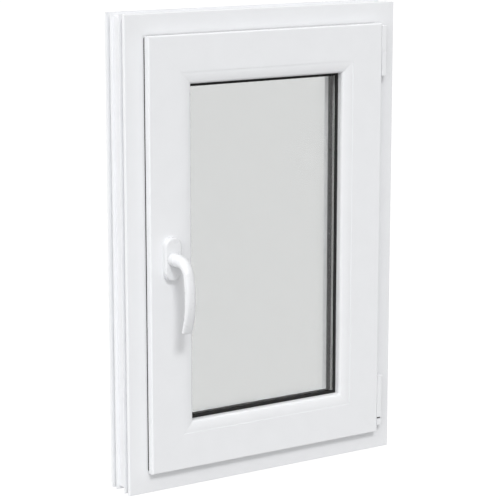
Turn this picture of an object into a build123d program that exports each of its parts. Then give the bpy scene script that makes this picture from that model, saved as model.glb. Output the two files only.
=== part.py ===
from build123d import *
import math
import os

# Outer size of the frame
WIDTH = 500.0
HEIGHT = 750.0
FRAME_DEPTH = 60.0

# Frame profile: distances run inwards from the outer edge, depths run outdoors from the room-side face
FRAME_FACE = 41.0
FRAME_LIP_REACH = 62.0
FRAME_LIP_THICKNESS = 12.0
FRAME_LIP_BEVEL = 4.0
FRAME_EDGE_RADIUS = 1.2
FRAME_FLANGE = 6.0
CLIP_GROOVE_WIDTH = 10.0
CLIP_GROOVE_DEPTH = 9.0
CLIP_LEG = 2.0
OUTER_RECESS = 5.5

# Sash profile, in the same distances and depths
SASH_EDGE = 33.0
SASH_PROUD = 15.0
SASH_REBATE = 53.0
SASH_EDGE_RADIUS = 2.0
SASH_LEG_BEVEL = 2.5
GLAZING_INSET = 90.0
SIGHT_INSET = 109.0
OVERLAP_GAP = 3.0
OUTDOOR_GAP = 3.0

# Glazing beads
BEAD_STEP = 0.6
BEAD_CROWN = 0.66
BEAD_FALL = 1.85
BEAD_ROLL = 4.0
BEAD_NOSE = 7.1

# Triple glazing
PANE = 4.0
CAVITY = 7.0
PANE_CLEARANCE = 5.0
SPACER_HEIGHT = 7.0
SPACER_SETBACK = 0.5
INNER_GASKET = 2.0
OUTER_GASKET = 3.0
GLAZING_GASKET_WIDTH = 10.0
GLAZING_GASKET_LIP = 4.4

# Weather gaskets
WEATHER_GASKET_WIDTH = 5.5
WEATHER_GASKET_SETBACK = 0.5

# Handle
HANDLE_INSET = 68.5
ROSETTE_WIDTH = 29.0
ROSETTE_HEIGHT = 68.0
ROSETTE_THICKNESS = 10.5
ROSETTE_RADIUS = 3.0
SPIGOT_DIAMETER = 14.0
SPIGOT_CLEARANCE = 0.05
SPIGOT_END_GAP = 0.5
LEVER_SHOULDER_GAP = 0.4
NECK_DIAMETER = 22.0
NECK_END_DIAMETER = 17.0
NECK_STRAIGHT = 29.5
ELBOW_RADIUS = 24.5
ELBOW_TURN = 76.0
GRIP_BOW = 36.0
GRIP_WIDTH = 16.5
GRIP_THICKNESS = 12.6
GRIP_CORNER_RADIUS = 4.5
GRIP_LENGTH = 108.5
TIP_THICKNESS = 7.0
TIP_BEVEL = 0.8

# Hinges
HINGE_WIDTH = 11.0
HINGE_NOSE_RADIUS = 3.5
HINGE_EDGE_RADIUS = 0.6
HINGE_END_BEVEL = 0.5
HINGE_SIDE_GAP = 0.3
HINGE_PIN_DIAMETER = 8.0
HINGE_PIN_CLEARANCE = 0.05
HINGE_PIN_GRIP = 7.0
HINGE_PIN_DEPTH = 6.5
TOP_HINGE_DROP = 37.0
TOP_KNUCKLE_LENGTH = 40.7
TOP_HINGE_GAP = 0.3
TOP_BEARING_LENGTH = 40.0
BOTTOM_HINGE_LEVEL = 44.3
BOTTOM_BEARING_LENGTH = 10.5
BOTTOM_HINGE_GAP = 3.2
BOTTOM_KNUCKLE_LENGTH = 71.7

# Drain hoods on the outdoor side of the sill
DRAIN_SPACING = 300.0
DRAIN_LEVEL = 24.0
DRAIN_LENGTH = 42.0
DRAIN_HEIGHT = 14.0
DRAIN_PROUD = 5.0
DRAIN_WALL = 1.6

# Depths and distances worked out from the sizes above
SASH_FACE = -SASH_PROUD
SASH_BACK = FRAME_DEPTH - FRAME_LIP_THICKNESS - OUTDOOR_GAP
GLASS_FRONT = INNER_GASKET
GLASS_BACK = GLASS_FRONT + 3 * PANE + 2 * CAVITY
LEG_FRONT = GLASS_BACK + OUTER_GASKET
PANE_EDGE = GLAZING_INSET + PANE_CLEARANCE
SPACER_SIGHT = SIGHT_INSET - SPACER_SETBACK

# The origin lies in the middle of the sill's rear flange, on its underside
ORIGIN_DEPTH = FRAME_DEPTH - FRAME_FLANGE / 2

OUTDOORS = Vector(0, 1, 0)
UP = Vector(0, 0, 1)
RIGHT = Vector(1, 0, 0)

# Each side: where its outer edge starts, the way inwards from it, and its length
SIDES = {
    "top": (Vector(-WIDTH / 2, -ORIGIN_DEPTH, HEIGHT), -UP, WIDTH),
    "bottom": (Vector(WIDTH / 2, -ORIGIN_DEPTH, 0), UP, WIDTH),
    "left": (Vector(-WIDTH / 2, -ORIGIN_DEPTH, 0), RIGHT, HEIGHT),
    "right": (Vector(WIDTH / 2, -ORIGIN_DEPTH, HEIGHT), -RIGHT, HEIGHT),
}


def outline(points, rounded=()):
    """Closed profile through (distance, depth) points, with the listed corners rounded."""
    profile = make_face(Polyline(*points, close=True))
    for corner, radius in rounded:
        vertex = profile.vertices().sort_by_distance(Vector(*corner))[0]
        profile = fillet(vertex, radius)
    return profile


def mitred_bar(profile, side):
    """One length of a profile along a side of the window, with 45 degree ends."""
    start, inwards, length = SIDES[side]
    bar = extrude(Plane(start, x_dir=inwards, z_dir=inwards.cross(OUTDOORS)) * profile, length)
    reach = SIGHT_INSET + PANE_CLEARANCE
    trapezium = Polyline((0, 0), (reach, reach), (reach, length - reach), (0, length), close=True)
    wedge_plane = Plane(start, x_dir=inwards, z_dir=-OUTDOORS)
    wedge = extrude(wedge_plane * make_face(trapezium), FRAME_DEPTH + SASH_PROUD, both=True)
    return bar & wedge


def slab(inset, front, back):
    """Flat plate over the whole window, inset from the frame's outer edges, between two depths."""
    middle = Pos(0, (front + back) / 2 - ORIGIN_DEPTH, HEIGHT / 2)
    return middle * Box(WIDTH - 2 * inset, back - front, HEIGHT - 2 * inset)


def ring(outer, inner, front, back):
    """Four-sided ring between two insets and two depths."""
    return slab(outer, front, back) - slab(inner, front, back)


def frame_profile():
    """Frame section: flat face, outdoor lip, and a recess between two clip grooves round the outer edge."""
    lip_front = FRAME_DEPTH - FRAME_LIP_THICKNESS
    rear_flange = FRAME_DEPTH - FRAME_FLANGE
    rear_leg = rear_flange - CLIP_GROOVE_WIDTH
    front_leg = FRAME_FLANGE + CLIP_GROOVE_WIDTH
    face_corner = (0, 0)
    rebate_corner = (FRAME_FACE, 0)
    lip_corner = (FRAME_LIP_REACH, FRAME_DEPTH)
    points = [
        face_corner,
        rebate_corner,
        (FRAME_FACE, lip_front),
        (FRAME_LIP_REACH - FRAME_LIP_BEVEL, lip_front),
        (FRAME_LIP_REACH, lip_front + FRAME_LIP_BEVEL),
        lip_corner,
        (0, FRAME_DEPTH),
        (0, rear_flange),
        (CLIP_GROOVE_DEPTH, rear_flange),
        (CLIP_GROOVE_DEPTH, rear_leg),
        (0, rear_leg),
        (0, rear_leg - CLIP_LEG),
        (OUTER_RECESS, rear_leg - CLIP_LEG),
        (OUTER_RECESS, front_leg + CLIP_LEG),
        (0, front_leg + CLIP_LEG),
        (0, front_leg),
        (CLIP_GROOVE_DEPTH, front_leg),
        (CLIP_GROOVE_DEPTH, FRAME_FLANGE),
        (0, FRAME_FLANGE),
    ]
    edges = [(corner, FRAME_EDGE_RADIUS) for corner in (face_corner, rebate_corner, lip_corner)]
    return outline(points, edges)


def sash_profile():
    """Sash section: overlap flange with a rounded edge, square body, and outdoor glazing leg."""
    overlap_corner = (SASH_EDGE, SASH_FACE)
    points = [
        overlap_corner,
        (GLAZING_INSET, SASH_FACE),
        (GLAZING_INSET, LEG_FRONT),
        (SIGHT_INSET, LEG_FRONT),
        (SIGHT_INSET, SASH_BACK - SASH_LEG_BEVEL),
        (SIGHT_INSET - SASH_LEG_BEVEL, SASH_BACK),
        (SASH_REBATE, SASH_BACK),
        (SASH_REBATE, -OVERLAP_GAP),
        (SASH_EDGE, -OVERLAP_GAP),
    ]
    return outline(points, [(overlap_corner, SASH_EDGE_RADIUS)])


def bead_profile():
    """Glazing bead section: flat back on the gasket, softly arched front, and a tight roll into its nose."""
    foot = (GLAZING_INSET, SASH_FACE + BEAD_STEP)
    shoulder = (SIGHT_INSET - BEAD_ROLL, SASH_FACE + BEAD_STEP + BEAD_FALL)
    nose = (SIGHT_INSET, -BEAD_NOSE)
    crown = ((foot[0] + shoulder[0]) / 2, (foot[1] + shoulder[1]) / 2 - BEAD_CROWN)
    front = ThreePointArc(foot, crown, shoulder)
    roll = TangentArc(shoulder, nose, tangent=front % 1)
    back = Polyline(nose, (SIGHT_INSET, 0), (GLAZING_INSET, 0), foot)
    return make_face(front + roll + back)


def on_sash_face(distance, level):
    """Plane on the sash's room-side face: x to the right, y up, z into the room."""
    start = Vector(-WIDTH / 2 + distance, SASH_FACE - ORIGIN_DEPTH, level)
    return Plane(start, x_dir=RIGHT, z_dir=-OUTDOORS)


def handle_rosette():
    """Oval cover plate with a rounded rim and a bore for the lever's spigot."""
    plate = extrude(SlotOverall(ROSETTE_HEIGHT, ROSETTE_WIDTH, rotation=90), ROSETTE_THICKNESS)
    plate = fillet(plate.faces().sort_by(Axis.Z)[-1].edges(), ROSETTE_RADIUS)
    bore = extrude(Circle(SPIGOT_DIAMETER / 2 + SPIGOT_CLEARANCE), ROSETTE_THICKNESS)
    return on_sash_face(HANDLE_INSET, HEIGHT / 2) * (plate - bore)


def handle_lever():
    """Lever: tapered neck, elbow and bowed grip of one rounded section, thinned on both sides to the tip."""
    shoulder = ROSETTE_THICKNESS + LEVER_SHOULDER_GAP
    side_view = Plane((0, 0, 0), x_dir=(0, 0, 1), z_dir=(-1, 0, 0))
    neck_line = Line((shoulder, 0), (NECK_STRAIGHT, 0))
    elbow = JernArc((NECK_STRAIGHT, 0), (1, 0), ELBOW_RADIUS, -ELBOW_TURN)
    fall = math.cos(math.radians(ELBOW_TURN)) - math.cos(math.radians(ELBOW_TURN + GRIP_BOW))
    bow_radius = (GRIP_LENGTH + (elbow @ 1).Y) / fall
    bow = JernArc(elbow @ 1, elbow % 1, bow_radius, -GRIP_BOW)
    section = Plane((0, 0, shoulder)) * RectangleRounded(GRIP_WIDTH, GRIP_THICKNESS, GRIP_CORNER_RADIUS)
    bar = sweep(section, path=side_view * (neck_line + elbow + bow))
    end_face = bar.faces().sort_by(Axis.Y)[0]
    bar = chamfer(end_face.edges(), TIP_BEVEL)

    middle_thickness = (GRIP_THICKNESS + TIP_THICKNESS) / 2
    for away in (1, -1):
        skin = []
        for share, thickness in ((0, GRIP_THICKNESS), (0.5, middle_thickness), (1, TIP_THICKNESS)):
            heading = bow % share
            skin.append((bow @ share) + Vector(-heading.Y, heading.X) * (away * thickness / 2))
        spare = Vector(-heading.Y, heading.X) * (away * GRIP_THICKNESS)
        past_tip = skin[-1] + heading * TIP_THICKNESS
        rest = Polyline(skin[-1], past_tip, past_tip + spare, skin[0] + spare, skin[0])
        bar -= extrude(side_view * make_face(ThreePointArc(*skin) + rest), GRIP_WIDTH, both=True)

    upright = (Align.CENTER, Align.CENTER, Align.MIN)
    neck = Cone(NECK_DIAMETER / 2, NECK_END_DIAMETER / 2, NECK_STRAIGHT - shoulder, align=upright)
    spigot = Cylinder(SPIGOT_DIAMETER / 2, shoulder - SPIGOT_END_GAP, align=upright)
    lever = bar + Pos(0, 0, shoulder) * neck + Pos(0, 0, SPIGOT_END_GAP) * spigot
    return on_sash_face(HANDLE_INSET, HEIGHT / 2) * lever


def beside_sash(level):
    """Level plane at the sash's right-hand edge: x to the right, y outdoors from the sash's face."""
    start = Vector(WIDTH / 2 - SASH_EDGE, SASH_FACE - ORIGIN_DEPTH, level)
    return Plane(start, x_dir=RIGHT, z_dir=UP)


def pin_hole(radius, low, high):
    """Round bar on the hinge axis between two heights."""
    return Pos(HINGE_WIDTH / 2, HINGE_PIN_DEPTH, low) * extrude(Circle(radius), high - low)


def hinge_half(gap, depth, length, bore_at_top):
    """Hinge barrel flush with the sash's face, bevelled at its free end, with a blind bore for the pin."""
    nose = (HINGE_WIDTH, 0)
    edge = (gap, 0)
    section = outline([edge, nose, (HINGE_WIDTH, depth), (gap, depth)],
                      [(nose, HINGE_NOSE_RADIUS), (edge, HINGE_EDGE_RADIUS)])
    barrel = extrude(section, length)
    ends = barrel.faces().sort_by(Axis.Z)
    free_end = ends[0] if bore_at_top else ends[-1]
    barrel = chamfer(free_end.edges(), HINGE_END_BEVEL)
    bore_start = length - HINGE_PIN_GRIP if bore_at_top else 0
    bore_radius = HINGE_PIN_DIAMETER / 2 + HINGE_PIN_CLEARANCE
    return barrel - pin_hole(bore_radius, bore_start, bore_start + HINGE_PIN_GRIP)


def hinge(low, bearing_length, gap, knuckle_length):
    """Bearing on the frame's face, knuckle on the sash's edge above it, and the pin between them."""
    split = low + bearing_length
    bearing = hinge_half(HINGE_SIDE_GAP, SASH_PROUD, bearing_length, bore_at_top=True)
    knuckle = hinge_half(0, SASH_PROUD - OVERLAP_GAP, knuckle_length, bore_at_top=False)
    pin = pin_hole(HINGE_PIN_DIAMETER / 2, split - HINGE_PIN_GRIP, split + gap + HINGE_PIN_GRIP)
    return {
        "bearing": beside_sash(low) * bearing,
        "knuckle": beside_sash(split + gap) * knuckle,
        "pin": beside_sash(0) * pin,
    }


def drain_hood(place):
    """Small hood on the outdoor face of the sill, open underneath."""
    start = Vector(place, FRAME_DEPTH - ORIGIN_DEPTH, DRAIN_LEVEL)
    hood = Box(DRAIN_LENGTH, DRAIN_PROUD, DRAIN_HEIGHT, align=(Align.CENTER, Align.MIN, Align.MIN))
    rim = hood.edges().group_by(Axis.Y)[-1].sort_by(Axis.Z)[-1]
    hood = chamfer(rim, DRAIN_PROUD - DRAIN_WALL)
    hollow = Box(DRAIN_LENGTH - 2 * DRAIN_WALL, DRAIN_PROUD - DRAIN_WALL, DRAIN_HEIGHT / 2,
                 align=(Align.CENTER, Align.MIN, Align.MIN))
    return Pos(start) * (hood - hollow)


nodes = {}

# Frame and sash, four mitred lengths each, and the four beads
frame_names = {"top": "frame_head", "bottom": "frame_sill",
               "left": "frame_jamb_left", "right": "frame_jamb_right"}
sash_names = {"top": "sash_top_rail", "bottom": "sash_bottom_rail",
              "left": "sash_stile_left", "right": "sash_stile_right"}
for side in SIDES:
    nodes[frame_names[side]] = mitred_bar(frame_profile(), side)
    nodes[sash_names[side]] = mitred_bar(sash_profile(), side)
    nodes[f"bead_{side}"] = mitred_bar(bead_profile(), side)

# Weather gaskets between sash and frame, indoors and outdoors
overlap_seal = SASH_EDGE + WEATHER_GASKET_SETBACK
lip_seal = FRAME_LIP_REACH - FRAME_LIP_BEVEL - WEATHER_GASKET_WIDTH
nodes["sash_gasket"] = ring(overlap_seal, overlap_seal + WEATHER_GASKET_WIDTH, -OVERLAP_GAP, 0)
nodes["frame_gasket"] = ring(lip_seal, lip_seal + WEATHER_GASKET_WIDTH, SASH_BACK, SASH_BACK + OUTDOOR_GAP)

# Glass unit and its two gaskets
for index, name in enumerate(("inner", "middle", "outer")):
    front = GLASS_FRONT + index * (PANE + CAVITY)
    nodes[f"pane_{name}"] = slab(PANE_EDGE, front, front + PANE)
for index, name in enumerate(("inner", "outer")):
    front = GLASS_FRONT + PANE + index * (PANE + CAVITY)
    nodes[f"spacer_{name}"] = ring(SPACER_SIGHT - SPACER_HEIGHT, SPACER_SIGHT, front, front + CAVITY)
gasket_start = SIGHT_INSET - GLAZING_GASKET_WIDTH
gasket_end = SIGHT_INSET + GLAZING_GASKET_LIP
nodes["glazing_gasket_inner"] = ring(gasket_start, gasket_end, 0, GLASS_FRONT)
nodes["glazing_gasket_outer"] = ring(gasket_start, gasket_end, GLASS_BACK, LEG_FRONT)

# Handle
nodes["handle_rosette"] = handle_rosette()
nodes["handle_lever"] = handle_lever()

# Hinges
top_hinge_level = HEIGHT - TOP_HINGE_DROP - TOP_KNUCKLE_LENGTH - TOP_HINGE_GAP - TOP_BEARING_LENGTH
hinges = {
    "top": hinge(top_hinge_level, TOP_BEARING_LENGTH, TOP_HINGE_GAP, TOP_KNUCKLE_LENGTH),
    "bottom": hinge(BOTTOM_HINGE_LEVEL, BOTTOM_BEARING_LENGTH, BOTTOM_HINGE_GAP, BOTTOM_KNUCKLE_LENGTH),
}
for end, pieces in hinges.items():
    for piece, shape in pieces.items():
        nodes[f"{end}_hinge_{piece}"] = shape

# Drain hoods
for name, place in (("left", -DRAIN_SPACING / 2), ("right", DRAIN_SPACING / 2)):
    nodes[f"drain_hood_{name}"] = drain_hood(place)

os.makedirs("parts", exist_ok=True)
for name, shape in nodes.items():
    export_step(shape, f"parts/{name}.step")
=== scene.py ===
# %% [markdown]
# A small white plastic window for a basement wall: a grooved frame, a sash that overlaps it, triple glass
# behind rounded beads, a lever handle on the left and two hinges on the right.
# The solids come from the CAD model and never move. This lesson gives them their finishes, grows the fine
# pieces that repeat or follow a path, and then sets the camera and the light.

# %% Load the window
import math

import bmesh
import bpy
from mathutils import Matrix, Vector


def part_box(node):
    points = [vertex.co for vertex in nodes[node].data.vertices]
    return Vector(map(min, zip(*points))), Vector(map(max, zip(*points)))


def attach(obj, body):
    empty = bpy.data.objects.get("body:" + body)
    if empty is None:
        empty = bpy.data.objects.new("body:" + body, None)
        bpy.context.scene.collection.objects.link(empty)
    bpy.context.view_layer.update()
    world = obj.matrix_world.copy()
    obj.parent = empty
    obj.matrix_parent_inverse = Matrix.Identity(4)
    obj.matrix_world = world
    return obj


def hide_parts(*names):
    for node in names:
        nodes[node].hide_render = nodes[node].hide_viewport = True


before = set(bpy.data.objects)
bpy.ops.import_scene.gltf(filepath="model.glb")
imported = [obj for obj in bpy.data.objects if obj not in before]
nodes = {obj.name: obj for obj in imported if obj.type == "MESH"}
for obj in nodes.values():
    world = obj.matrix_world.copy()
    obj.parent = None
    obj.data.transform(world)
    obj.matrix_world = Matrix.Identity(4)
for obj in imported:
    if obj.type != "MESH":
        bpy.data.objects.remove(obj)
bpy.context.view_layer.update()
scene = bpy.context.scene
scene.view_settings.view_transform = "Standard"
MM = 0.001
WIDTH = 500 * MM
HEIGHT = 750 * MM

# %% [markdown]
# The camera comes first, so that every later step can be looked at from the photograph's place: to the left
# of the window, a little above it and turned towards it. The lens is long, because the window's upright edges
# hardly lean towards each other.

# %% Set the camera
PHOTO_PIXELS = 500
FOCAL_PIXELS = 1930.8
SENSOR = 36.0
CAMERA_PLACE = (-1.6489, -2.5813, 0.9813)
CAMERA_PITCH = -11.54
CAMERA_YAW = -32.72

camera_data = bpy.data.cameras.new("camera")
camera_data.sensor_width = SENSOR
camera_data.lens = FOCAL_PIXELS / PHOTO_PIXELS * SENSOR
camera = bpy.data.objects.new("camera", camera_data)
camera.location = CAMERA_PLACE
camera.rotation_euler = (math.radians(90 + CAMERA_PITCH), 0, math.radians(CAMERA_YAW))
scene.collection.objects.link(camera)
scene.camera = camera
print("camera with a", round(camera_data.lens), "mm lens")

# %% [markdown]
# Every finish is a Principled BSDF. Values that are the same all over go straight on to its sockets. Small
# helpers keep the node trees readable: one starts a material, one adds a node with its inputs, and one
# puts a finish on the CAD solids.

# %% Start a material
def principled(name, colour, roughness):
    material = bpy.data.materials.new(name)
    material.use_nodes = True
    shader = material.node_tree.nodes["Principled BSDF"]
    shader.inputs["Base Color"].default_value = (*colour, 1.0)
    shader.inputs["Roughness"].default_value = roughness
    return material, shader


def add_node(tree, kind, inputs=None, **settings):
    node = tree.nodes.new(kind)
    for setting, value in settings.items():
        setattr(node, setting, value)
    for socket, value in (inputs or {}).items():
        if isinstance(value, bpy.types.NodeSocket):
            tree.links.new(value, node.inputs[socket])
        else:
            node.inputs[socket].default_value = value
    return node


def maths(tree, operation, *values):
    return add_node(tree, "ShaderNodeMath", dict(enumerate(values)), operation=operation).outputs[0]


def dress(material, *names):
    for name in names:
        nodes[name].data.materials.clear()
        nodes[name].data.materials.append(material)


# %% [markdown]
# Frame, sash, beads, gaskets and spacers are all drawn bars: one profile pressed through a die, cut to
# length and joined at 45 degrees. The die leaves faint lines that run along each bar and turn at the
# corner, and the joint leaves a hair line across it. Both follow from one number, the distance from the
# window's outer edge, so one node group works it out and four finishes share it. An image could show the
# same lines, but it would need a map for every bar.

# %% Group: drawn bar
def start_group(name, inputs, outputs):
    group = bpy.data.node_groups.new(name, "ShaderNodeTree")
    for label, value in inputs.items():
        socket = group.interface.new_socket(label, in_out="INPUT", socket_type="NodeSocketFloat")
        socket.default_value = value
    for label in outputs:
        group.interface.new_socket(label, in_out="OUTPUT", socket_type="NodeSocketFloat")
    given = group.nodes.new("NodeGroupInput").outputs
    result = group.nodes.new("NodeGroupOutput").inputs
    return group, given, result


MOTTLE_SCALE = 28.0

drawn_bar, given, result = start_group(
    "drawn_bar", {"Line Scale": 900.0, "Seam Width": 0.4 * MM}, ("Lines", "Mottle", "Seam"))
place = drawn_bar.nodes.new("ShaderNodeTexCoord").outputs["Object"]
axes = add_node(drawn_bar, "ShaderNodeSeparateXYZ", {"Vector": place}).outputs
side = maths(drawn_bar, "SUBTRACT", WIDTH / 2, maths(drawn_bar, "ABSOLUTE", axes["X"]))
from_middle = maths(drawn_bar, "ABSOLUTE", maths(drawn_bar, "SUBTRACT", axes["Z"], HEIGHT / 2))
rise = maths(drawn_bar, "SUBTRACT", HEIGHT / 2, from_middle)
inset = maths(drawn_bar, "MINIMUM", side, rise)
across = add_node(drawn_bar, "ShaderNodeCombineXYZ", {"X": inset, "Y": axes["Y"]}).outputs[0]
die_lines = add_node(drawn_bar, "ShaderNodeTexNoise",
                     {"Vector": across, "Scale": given["Line Scale"], "Detail": 3.0})
mottle = add_node(drawn_bar, "ShaderNodeTexNoise", {"Vector": place, "Scale": MOTTLE_SCALE, "Detail": 3.0})
off_joint = maths(drawn_bar, "ABSOLUTE", maths(drawn_bar, "SUBTRACT", side, rise))
seam = add_node(drawn_bar, "ShaderNodeMapRange",
                {"Value": off_joint, "From Max": given["Seam Width"], "To Min": 1.0, "To Max": 0.0},
                interpolation_type="SMOOTHSTEP")
drawn_bar.links.new(die_lines.outputs["Fac"], result["Lines"])
drawn_bar.links.new(mottle.outputs["Fac"], result["Mottle"])
drawn_bar.links.new(seam.outputs["Result"], result["Seam"])
print("group", drawn_bar.name, "has", len(drawn_bar.nodes), "nodes")

# %% [markdown]
# The handle and the hinges are die castings under a sprayed white coat. Such a coat dries with a very fine
# orange peel, a little smoother in one place than in another. A second group makes it, for both.

# %% Group: sprayed coat
GLOSS_SCALE = 60.0

sprayed_coat, given, result = start_group("sprayed_coat", {"Peel Scale": 520.0}, ("Peel", "Gloss"))
place = sprayed_coat.nodes.new("ShaderNodeTexCoord").outputs["Object"]
peel = add_node(sprayed_coat, "ShaderNodeTexNoise",
                {"Vector": place, "Scale": given["Peel Scale"], "Detail": 2.0, "Roughness": 0.4})
gloss = add_node(sprayed_coat, "ShaderNodeTexNoise", {"Vector": place, "Scale": GLOSS_SCALE, "Detail": 3.0})
sprayed_coat.links.new(peel.outputs["Fac"], result["Peel"])
sprayed_coat.links.new(gloss.outputs["Fac"], result["Gloss"])
print("group", sprayed_coat.name, "has", len(sprayed_coat.nodes), "nodes")


# %% [markdown]
# Three small helpers finish the drawn and coated materials: a colour that drifts between two tones, a
# roughness that drifts between two values, and a bump whose height is given in metres. The drifts stay
# small, because the real window is new and clean.

# %% Let a finish drift
def drift_colour(material, shader, mask, first, second):
    tree = material.node_tree
    mix = add_node(tree, "ShaderNodeMix", data_type="RGBA")
    tree.links.new(mask, mix.inputs[0])
    colours = [socket for socket in mix.inputs if socket.type == "RGBA"]
    colours[0].default_value = (*first, 1.0)
    colours[1].default_value = (*second, 1.0)
    result = next(socket for socket in mix.outputs if socket.type == "RGBA")
    tree.links.new(result, shader.inputs["Base Color"])


def drift_roughness(material, shader, mask, smooth, rough):
    drift = add_node(material.node_tree, "ShaderNodeMapRange",
                     {"Value": mask, "To Min": smooth, "To Max": rough})
    material.node_tree.links.new(drift.outputs["Result"], shader.inputs["Roughness"])


def raise_bump(material, shader, height, distance):
    bump = add_node(material.node_tree, "ShaderNodeBump", {"Height": height, "Distance": distance})
    material.node_tree.links.new(bump.outputs["Normal"], shader.inputs["Normal"])


def place_group(material, group, **values):
    node = add_node(material.node_tree, "ShaderNodeGroup", node_tree=group)
    for label, value in values.items():
        node.inputs[label.replace("_", " ")].default_value = value
    return node.outputs


def grey(level):
    return (level, level, level)


def cool_white(level):
    return (0.99 * level, level, 1.02 * level)


# %% [markdown]
# White window plastic is a satin, slightly waxy white. The joint line at the corners is darker only by a
# hair, and pressed in by a tenth of a millimetre. The beads are cut and laid in, not welded, so their joint
# shows a little more.

# %% Finish: window plastic
def window_plastic(name, low, high, seam_width):
    material, shader = principled(name, cool_white(high), 0.35)
    tree = material.node_tree
    bar = place_group(material, drawn_bar, Line_Scale=700.0, Seam_Width=seam_width)
    spared = maths(tree, "SUBTRACT", 1.0, bar["Seam"])
    tone = maths(tree, "MULTIPLY", bar["Mottle"], spared)
    drift_colour(material, shader, tone, cool_white(low), cool_white(high))
    drift_roughness(material, shader, bar["Lines"], 0.3, 0.42)
    ridge = maths(tree, "MULTIPLY_ADD", bar["Lines"], 0.06, spared)
    raise_bump(material, shader, ridge, 0.1 * MM)
    return material


profile_white = window_plastic("profile_white", 0.85, 0.89, 0.5 * MM)
bead_white = window_plastic("bead_white", 0.84, 0.89, 0.35 * MM)

PROFILES = ("frame_head", "frame_sill", "frame_jamb_left", "frame_jamb_right",
            "sash_top_rail", "sash_bottom_rail", "sash_stile_left", "sash_stile_right")
dress(profile_white, *PROFILES, "drain_hood_left", "drain_hood_right")
dress(bead_white, "bead_top", "bead_bottom", "bead_left", "bead_right")
print("window plastic on", len(PROFILES), "bars, two hoods and four beads")

# %% [markdown]
# The coat on the handle is glossier than the plastic, and its colour is a shade lower, so that gloss and
# colour together look as white. The hinge covers are nearer to the sash, so that they do not stand out.

# %% Finish: sprayed metal
def sprayed_metal(name, low, high, smooth, rough):
    material, shader = principled(name, cool_white(high), rough)
    coat = place_group(material, sprayed_coat)
    drift_colour(material, shader, coat["Gloss"], cool_white(low), cool_white(high))
    drift_roughness(material, shader, coat["Gloss"], smooth, rough)
    raise_bump(material, shader, coat["Peel"], 0.004 * MM)
    return material


handle_white = sprayed_metal("handle_white", 0.8, 0.83, 0.24, 0.32)
hinge_white = sprayed_metal("hinge_white", 0.84, 0.88, 0.3, 0.4)
dress(handle_white, "handle_rosette", "handle_lever")
dress(hinge_white, "top_hinge_bearing", "top_hinge_knuckle", "bottom_hinge_bearing", "bottom_hinge_knuckle")
print("sprayed metal on the handle and the hinge covers")

# %% [markdown]
# Rubber gaskets are drawn too. They are nearly black, matte, and show the die lines more than the plastic.

# %% Finish: rubber
rubber, shader = principled("rubber", grey(0.025), 0.6)
shader.inputs["Specular IOR Level"].default_value = 0.06
bar = place_group(rubber, drawn_bar, Line_Scale=1400.0)
drift_colour(rubber, shader, bar["Mottle"], grey(0.02), grey(0.03))
drift_roughness(rubber, shader, bar["Lines"], 0.5, 0.72)
raise_bump(rubber, shader, bar["Lines"], 0.03 * MM)
dress(rubber, "frame_gasket", "sash_gasket", "glazing_gasket_inner", "glazing_gasket_outer")
print("rubber on four gaskets")

# %% [markdown]
# Between the panes run two dark spacers. Near the middle pane each spacer is painted pale: a painted
# reflection that stands in for the light line in the dark band on the right, where the middle pane's edge
# catches the light. It is a mask on the spacer's own finish: pale near the middle pane, dark elsewhere.

# %% Finish: spacer with a painted reflection
MIDDLE_PANE = -42 * MM
REFLECTION_EDGE = 3.5 * MM

spacer_dark, shader = principled("spacer_dark", grey(0.012), 0.6)
shader.inputs["Specular IOR Level"].default_value = 0.08
tree = spacer_dark.node_tree
bar = place_group(spacer_dark, drawn_bar, Line_Scale=1100.0)
place = tree.nodes.new("ShaderNodeTexCoord").outputs["Object"]
depth = add_node(tree, "ShaderNodeSeparateXYZ", {"Vector": place}).outputs["Y"]
from_pane = maths(tree, "ABSOLUTE", maths(tree, "SUBTRACT", depth, MIDDLE_PANE))
# Painted reflection: the spacer is coloured pale within this distance of the middle pane, for the light line
# at that pane's edge.
painted_reflection = maths(tree, "LESS_THAN", from_pane, REFLECTION_EDGE)
drift_colour(spacer_dark, shader, painted_reflection, grey(0.008), grey(0.95))
drift_roughness(spacer_dark, shader, bar["Lines"], 0.5, 0.7)
raise_bump(spacer_dark, shader, bar["Lines"], 0.02 * MM)
dress(spacer_dark, "spacer_inner", "spacer_outer")
print("foil within", REFLECTION_EDGE / MM, "mm of the middle pane's centre")

# %% [markdown]
# The panes are clear float glass with a faint grey-green cast, three of them, so each takes only a third of
# the cast. Float glass is never quite flat, so a very low bump bends what shows through it. The light has to
# reach what is behind the panes, so they throw no shadow of their own.

# %% Finish: glass
WAVE_SCALE = 9.0
WAVE_HEIGHT = 0.004 * MM

glass, shader = principled("glass", (0.852, 0.856, 0.854), 0.0)
shader.inputs["Transmission Weight"].default_value = 1.0
shader.inputs["IOR"].default_value = 1.5
shader.inputs["Specular IOR Level"].default_value = 0.06
tree = glass.node_tree
place = tree.nodes.new("ShaderNodeTexCoord").outputs["Object"]
roller_wave = add_node(tree, "ShaderNodeTexNoise", {"Vector": place, "Scale": WAVE_SCALE, "Detail": 0.0})
raise_bump(glass, shader, roller_wave.outputs["Fac"], WAVE_HEIGHT)
PANES = ("pane_inner", "pane_middle", "pane_outer")
dress(glass, *PANES)
for name in PANES:
    nodes[name].visible_shadow = False
print("glass on", len(PANES), "panes")

# %% [markdown]
# The hinge pins are turned steel, brushed round their axis: noise stretched flat gives the fine rings.

# %% Finish: turned steel
RING_STRETCH = (40.0, 40.0, 4000.0)

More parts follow.
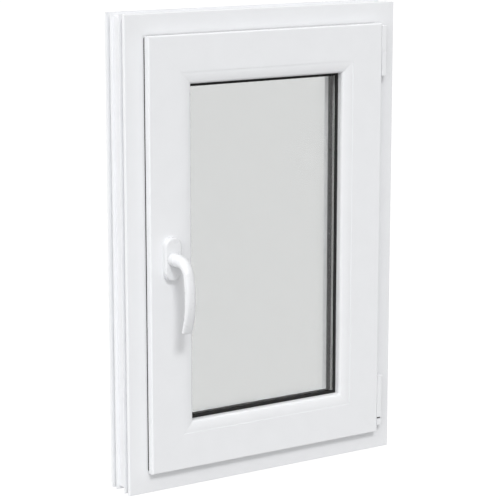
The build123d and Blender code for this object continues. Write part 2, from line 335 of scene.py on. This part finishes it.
steel, shader = principled("steel", grey(0.13), 0.35)
shader.inputs["Metallic"].default_value = 1.0
tree = steel.node_tree
place = tree.nodes.new("ShaderNodeTexCoord").outputs["Object"]
turned = add_node(tree, "ShaderNodeMapping", {"Vector": place, "Scale": RING_STRETCH}).outputs[0]
rings = add_node(tree, "ShaderNodeTexNoise", {"Vector": turned, "Scale": 1.0, "Detail": 2.0}).outputs["Fac"]
drift_colour(steel, shader, rings, grey(0.1), grey(0.16))
drift_roughness(steel, shader, rings, 0.28, 0.45)
dress(steel, "top_hinge_pin", "bottom_hinge_pin")
print("steel on two pins")


# %% [markdown]
# Pieces that follow a path or repeat along it are grown with Geometry Nodes. A tree gets named inputs for
# its sizes, so one tree serves several pieces. The helper sets those inputs by their identifiers, evaluates
# the object once, keeps the result as a plain mesh and drops the modifier, so that what rides on the window
# is only a mesh at the origin.

# %% Grow a piece from a tree
def start_tree(name, inputs):
    tree = bpy.data.node_groups.new(name, "GeometryNodeTree")
    for label, kind in inputs.items():
        tree.interface.new_socket(label, in_out="INPUT", socket_type=kind)
    tree.interface.new_socket("Geometry", in_out="OUTPUT", socket_type="NodeSocketGeometry")
    return tree, tree.nodes.new("NodeGroupInput").outputs, tree.nodes.new("NodeGroupOutput").inputs


def end_tree(tree, geometry, finish, output):
    smooth = add_node(tree, "GeometryNodeSetShadeSmooth", {"Geometry": geometry}).outputs[0]
    real = add_node(tree, "GeometryNodeRealizeInstances", {"Geometry": smooth}).outputs[0]
    done = add_node(tree, "GeometryNodeSetMaterial", {"Geometry": real, "Material": finish}).outputs[0]
    tree.links.new(done, output)


def grow(name, tree, sizes):
    piece = bpy.data.objects.new(name, bpy.data.meshes.new(name))
    scene.collection.objects.link(piece)
    modifier = piece.modifiers.new("grow", "NODES")
    modifier.node_group = tree
    for item in tree.interface.items_tree:
        if item.in_out == "INPUT":
            modifier[item.identifier] = sizes[item.name]
    graph = bpy.context.evaluated_depsgraph_get()
    mesh = bpy.data.meshes.new_from_object(piece.evaluated_get(graph), depsgraph=graph)
    piece.modifiers.remove(modifier)
    piece.data = mesh
    mesh.name = name
    return piece


# %% [markdown]
# Each gasket is a strip of rubber with rounded edges that runs once round the window. The CAD solid for it is
# a plain flat ring. Here a rounded section is swept along a rectangle with small corner bends, which is how
# the real strip lies in its groove. Two of them are squeezed in the real window: the sash's strip is pressed
# out to the sash's edge, and the room-side glazing strip bulges a little more above and below the glass. The
# outdoor glazing strip hardly stands out past the spacer, so it is narrower than its solid.

# %% Tree: gasket strip
BEND_STEPS = 6
EDGE_STEPS = 4

gasket_strip, given, result = start_tree("gasket_strip", {
    "Path Width": "NodeSocketFloat", "Path Height": "NodeSocketFloat", "Corner Bend": "NodeSocketFloat",
    "Strip Width": "NodeSocketFloat", "Strip Thickness": "NodeSocketFloat", "Edge Round": "NodeSocketFloat",
    "Middle": "NodeSocketVector", "Finish": "NodeSocketMaterial"})
path = add_node(gasket_strip, "GeometryNodeCurvePrimitiveQuadrilateral",
                {"Width": given["Path Width"], "Height": given["Path Height"]}).outputs[0]
bent = add_node(gasket_strip, "GeometryNodeFilletCurve",
                {"Curve": path, "Radius": given["Corner Bend"], "Count": BEND_STEPS}, mode="POLY").outputs[0]
section = add_node(gasket_strip, "GeometryNodeCurvePrimitiveQuadrilateral",
                   {"Width": given["Strip Width"], "Height": given["Strip Thickness"]}).outputs[0]
rounded = add_node(gasket_strip, "GeometryNodeFilletCurve",
                   {"Curve": section, "Radius": given["Edge Round"], "Count": EDGE_STEPS},
                   mode="POLY").outputs[0]
strip = add_node(gasket_strip, "GeometryNodeCurveToMesh",
                 {"Curve": bent, "Profile Curve": rounded}).outputs[0]
upright = add_node(gasket_strip, "GeometryNodeTransform",
                   {"Geometry": strip, "Translation": given["Middle"], "Rotation": (math.pi / 2, 0, 0)})
end_tree(gasket_strip, upright.outputs[0], given["Finish"], result["Geometry"])
print("tree", gasket_strip.name, "has", len(gasket_strip.nodes), "nodes")


# %% Grow the gaskets
def gasket(node, width, bend, edge, wider=0.0, taller=0.0):
    low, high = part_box(node)
    thickness = high.y - low.y
    piece = grow(node + "_strip", gasket_strip, {
        "Path Width": high.x - low.x - width + wider, "Path Height": high.z - low.z - width + taller,
        "Corner Bend": bend, "Strip Width": width, "Strip Thickness": thickness, "Edge Round": edge,
        "Middle": (low + high) / 2, "Finish": rubber})
    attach(piece, "window")
    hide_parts(node)
    print(piece.name, "is", round(thickness / MM, 2), "mm thick and has", len(piece.data.polygons), "faces")


gasket("sash_gasket", width=5.5 * MM, bend=2.8 * MM, edge=0.1 * MM, wider=1 * MM, taller=0.8 * MM)
gasket("frame_gasket", width=5.5 * MM, bend=2.8 * MM, edge=1.3 * MM)
gasket("glazing_gasket_inner", width=14.4 * MM, bend=7.3 * MM, edge=0.8 * MM, taller=-1.4 * MM)
gasket("glazing_gasket_outer", width=11.4 * MM, bend=5.8 * MM, edge=1.2 * MM)

# %% [markdown]
# The face of a spacer that looks into the glass has two rows of tiny slots, so that the drying agent inside
# can reach the gas. They repeat all the way round, so a tree lays points along the rectangle and puts one
# small sunk slot on each. A bump pattern would be cheaper, but it would not turn the corners cleanly.

# %% Tree: slot rows
slot_rows, given, result = start_tree("slot_rows", {
    "Path Width": "NodeSocketFloat", "Path Height": "NodeSocketFloat", "Pitch": "NodeSocketFloat",
    "Row Shift": "NodeSocketVector", "Slot": "NodeSocketVector", "Middle": "NodeSocketVector",
    "Finish": "NodeSocketMaterial"})
path = add_node(slot_rows, "GeometryNodeCurvePrimitiveQuadrilateral",
                {"Width": given["Path Width"], "Height": given["Path Height"]}).outputs[0]
upright = add_node(slot_rows, "GeometryNodeTransform",
                   {"Geometry": path, "Translation": given["Middle"], "Rotation": (math.pi / 2, 0, 0)})
points = add_node(slot_rows, "GeometryNodeCurveToPoints",
                  {"Curve": upright.outputs[0], "Length": given["Pitch"]}, mode="LENGTH")
inward = add_node(slot_rows, "ShaderNodeVectorMath",
                  {0: points.outputs["Tangent"], 1: (0.0, 1.0, 0.0)}, operation="CROSS_PRODUCT").outputs[0]
turn = add_node(slot_rows, "FunctionNodeAxesToRotation",
                {"Primary Axis": inward, "Secondary Axis": points.outputs["Tangent"]},
                primary_axis="Z", secondary_axis="X").outputs[0]
slot_shape = add_node(slot_rows, "GeometryNodeMeshCylinder",
                      {"Vertices": 8, "Radius": 0.5, "Depth": 1.0}).outputs["Mesh"]
slots = add_node(slot_rows, "GeometryNodeInstanceOnPoints",
                 {"Points": points.outputs["Points"], "Instance": slot_shape, "Rotation": turn,
                  "Scale": given["Slot"]}).outputs[0]
shift_back = add_node(slot_rows, "ShaderNodeVectorMath",
                      {0: given["Row Shift"], 1: (-1.0, -1.0, -1.0)}, operation="MULTIPLY").outputs[0]
rows = add_node(slot_rows, "GeometryNodeJoinGeometry")
for shift in (given["Row Shift"], shift_back):
    row = add_node(slot_rows, "GeometryNodeTransform", {"Geometry": slots, "Translation": shift}).outputs[0]
    slot_rows.links.new(row, rows.inputs[0])
end_tree(slot_rows, rows.outputs[0], given["Finish"], result["Geometry"])
print("tree", slot_rows.name, "has", len(slot_rows.nodes), "nodes")

# %% Grow the slots
SPACER_FACE = 108.5 * MM
SLOT = Vector((1.6, 0.45, 0.12)) * MM
SLOT_PITCH = 4 * MM
ROW_SHIFT = Vector((0, 1.3, 0)) * MM

for node in ("spacer_inner", "spacer_outer"):
    low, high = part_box(node)
    piece = grow(node + "_slots", slot_rows, {
        "Path Width": WIDTH - 2 * SPACER_FACE, "Path Height": HEIGHT - 2 * SPACER_FACE, "Pitch": SLOT_PITCH,
        "Row Shift": ROW_SHIFT, "Slot": SLOT, "Middle": (low + high) / 2, "Finish": rubber})
    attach(piece, "window")
    print(piece.name, "has", len(piece.data.polygons), "faces")

# %% [markdown]
# The lever is one casting: a round neck that narrows, an elbow, and a flat grip that widens a little and
# thins towards its tip. The CAD solid joins a cone to a bar of one section, which is enough for touching and
# turning. Here the section changes smoothly from round to a soft rectangle on its way along the same line,
# so light runs over it without a break.

# %% The lever's line
AXIS = Vector((-181.5, -72.0, 375.0)) * MM
SHOULDER = 10.9
NECK_END = 29.5
ELBOW_RADIUS = 24.5
ELBOW_TURN = math.radians(76)
BOW_TURN = math.radians(36)
DROP = 108.5
STEPS = 14


def arc(start, heading, radius, turn, steps):
    """Points on a bend, without its first, as (out from the sash, down, heading)."""
    out, down = start
    for i in range(1, steps + 1):
        now = heading + turn * i / steps
        yield (out + radius * (math.sin(now) - math.sin(heading)),
               down + radius * (math.cos(heading) - math.cos(now)), now)


line = [(SHOULDER + (NECK_END - SHOULDER) * i / STEPS, 0.0, 0.0) for i in range(STEPS + 1)]
line += arc(line[-1][:2], 0.0, ELBOW_RADIUS, ELBOW_TURN, 2 * STEPS)
bow_radius = (DROP - line[-1][1]) / (math.cos(ELBOW_TURN) - math.cos(ELBOW_TURN + BOW_TURN))
line += arc(line[-1][:2], ELBOW_TURN, bow_radius, BOW_TURN, 3 * STEPS)
print("the lever's line has", len(line), "points and bows at", round(bow_radius), "mm")

# %% [markdown]
# The width, the thickness and the squareness of the section are given at a few places along the line, as a
# share of its length, and eased between them. The tip is closed by a few quickly shrinking sections.

# %% Sections along the lever
# Share of the length, width, thickness and squareness
STATIONS = (
    (0.0, 22.4, 22.4, 2.0),
    (0.12, 20.2, 20.0, 2.0),
    (0.24, 17.4, 16.0, 2.2),
    (0.36, 16.2, 13.0, 2.5),
    (0.68, 16.6, 10.6, 2.7),
    (1.0, 17.6, 7.0, 3.0),
)
SIDES = 40
SPIGOT = ((1.0, 6.8), (10.6, 6.8), (10.7, 10.6))
TIP = ((1.0, 0.985, 0.95), (1.8, 0.93, 0.82), (2.3, 0.82, 0.6), (2.5, 0.6, 0.3))


def section_at(share):
    for before, after in zip(STATIONS, STATIONS[1:]):
        if share <= after[0]:
            ease = (share - before[0]) / (after[0] - before[0])
            return [a + (b - a) * ease for a, b in zip(before[1:], after[1:])]
    return list(STATIONS[-1][1:])


def section_ring(mesh, out, down, heading, width, thickness, squareness):
    ring = []
    for i in range(SIDES):
        angle = 2 * math.pi * i / SIDES
        across = math.copysign(abs(math.cos(angle)) ** (2 / squareness), math.cos(angle)) * width / 2
        deep = math.copysign(abs(math.sin(angle)) ** (2 / squareness), math.sin(angle)) * thickness / 2
        room = out + deep * math.sin(heading)
        fall = down - deep * math.cos(heading)
        ring.append(mesh.verts.new(AXIS + Vector((across, -room, -fall)) * MM))
    return ring


def skin(mesh, rings):
    for low, high in zip(rings, rings[1:]):
        for i in range(SIDES):
            j = (i + 1) % SIDES
            mesh.faces.new((low[i], low[j], high[j], high[i]))
    mesh.faces.new(rings[0][::-1])
    mesh.faces.new(rings[-1])
    bmesh.ops.recalc_face_normals(mesh, faces=mesh.faces)


print("the grip is", section_at(1.0)[0], "mm wide at its tip")

# %% Build the lever
SHARP_ANGLE = math.radians(45)

lengths = [0.0]
for start, end in zip(line, line[1:]):
    lengths.append(lengths[-1] + math.hypot(end[0] - start[0], end[1] - start[1]))
TIP_LENGTH = TIP[-1][0]
body_length = lengths[-1] - TIP_LENGTH

lever_mesh = bmesh.new()
rings = [section_ring(lever_mesh, out, 0.0, 0.0, 2 * radius, 2 * radius, 2.0) for out, radius in SPIGOT]
for (out, down, heading), length in zip(line, lengths):
    if length < body_length:
        rings.append(section_ring(lever_mesh, out, down, heading, *section_at(length / lengths[-1])))
out, down, heading = line[-1]
width, thickness, squareness = section_at(1.0)
for step, wide, thick in ((0.0, 1.0, 1.0),) + TIP:
    back = TIP_LENGTH - step
    rings.append(section_ring(lever_mesh, out - back * math.cos(heading), down - back * math.sin(heading),
                              heading, width * wide, thickness * thick, squareness))
skin(lever_mesh, rings)
mesh = bpy.data.meshes.new("lever_casting")
lever_mesh.to_mesh(mesh)
lever_mesh.free()
mesh.shade_smooth()
mesh.set_sharp_from_angle(angle=SHARP_ANGLE)
mesh.materials.append(handle_white)
lever = bpy.data.objects.new("lever_casting", mesh)
scene.collection.objects.link(lever)
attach(lever, "handle")
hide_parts("handle_lever")
print("lever with", len(mesh.polygons), "faces")

# %% [markdown]
# The light is a plain studio: one lamp from the upper left in front, like a large window, gives the crisp
# shadow under the sash and beside the handle, and the white room gives the rest. The room is brighter on
# the left and above, as the frame's outer side and top edge show in the photograph. What the camera, a
# gloss or the glass sees directly is plain white.

# %% Key lamp
KEY_ENERGY = 1.15
KEY_ANGLE = 12
KEY_DIRECTION = Vector((0.31, 1.0, -0.9))

key_data = bpy.data.lights.new("key", "SUN")
key_data.energy = KEY_ENERGY
key_data.angle = math.radians(KEY_ANGLE)
key = bpy.data.objects.new("key", key_data)
key.rotation_euler = KEY_DIRECTION.to_track_quat("-Z", "Y").to_euler()
scene.collection.objects.link(key)
print("key lamp of", KEY_ENERGY)

# %% White room
ROOM_LEVEL = 0.17
ROOM_LEFT = 1.45
ROOM_TOP = 0.47
ROOM_FRONT = 0.17


def seen_directly(tree):
    rays = tree.nodes.new("ShaderNodeLightPath").outputs
    straight = maths(tree, "MAXIMUM", rays["Is Camera Ray"], rays["Is Glossy Ray"])
    return maths(tree, "MAXIMUM", straight, rays["Is Transmission Ray"])


world = bpy.data.worlds.new("studio")
scene.world = world
world.use_nodes = True
tree = world.node_tree
way = tree.nodes.new("ShaderNodeTexCoord").outputs["Generated"]
axes = add_node(tree, "ShaderNodeSeparateXYZ", {"Vector": way}).outputs
left = maths(tree, "MAXIMUM", maths(tree, "MULTIPLY", axes["X"], -ROOM_LEFT), 0.0)
top = maths(tree, "MAXIMUM", maths(tree, "MULTIPLY", axes["Z"], ROOM_TOP), 0.0)
front = maths(tree, "MAXIMUM", maths(tree, "MULTIPLY", axes["Y"], -ROOM_FRONT), 0.0)
room = maths(tree, "ADD", maths(tree, "ADD", left, top), maths(tree, "ADD", front, ROOM_LEVEL))
strength = add_node(tree, "ShaderNodeMapRange", {"Value": seen_directly(tree), "To Min": room, "To Max": 1.0})
background = tree.nodes["Background"]
background.inputs["Color"].default_value = (1, 1, 1, 1)
tree.links.new(strength.outputs["Result"], background.inputs["Strength"])
print("room light from", ROOM_LEVEL, "to", round(ROOM_LEVEL + ROOM_LEFT, 2))

# %% [markdown]
# The window hangs in its wall, so the floor lies most of a metre under it, pale and plain. It is lifted to
# white for the camera and the glass only, and the lamp's shadow stays on it.

# %% Floor
FLOOR_DROP = 0.9
FLOOR_SIZE = 30.0
FLOOR_GREY = 0.46
FLOOR_LIFT = 0.57

floor_mesh = bmesh.new()
bmesh.ops.create_grid(floor_mesh, x_segments=1, y_segments=1, size=FLOOR_SIZE)
mesh = bpy.data.meshes.new("floor")
floor_mesh.to_mesh(mesh)
floor_mesh.free()
floor_pale, shader = principled("floor_pale", grey(FLOOR_GREY), 1.0)
shader.inputs["Specular IOR Level"].default_value = 0.0
shader.inputs["Emission Color"].default_value = (1, 1, 1, 1)
tree = floor_pale.node_tree
tree.links.new(maths(tree, "MULTIPLY", seen_directly(tree), FLOOR_LIFT), shader.inputs["Emission Strength"])
mesh.materials.append(floor_pale)
floor = bpy.data.objects.new("floor", mesh)
floor.location = (0, 0, -FLOOR_DROP)
scene.collection.objects.link(floor)
print("floor", FLOOR_DROP, "m below the sill")
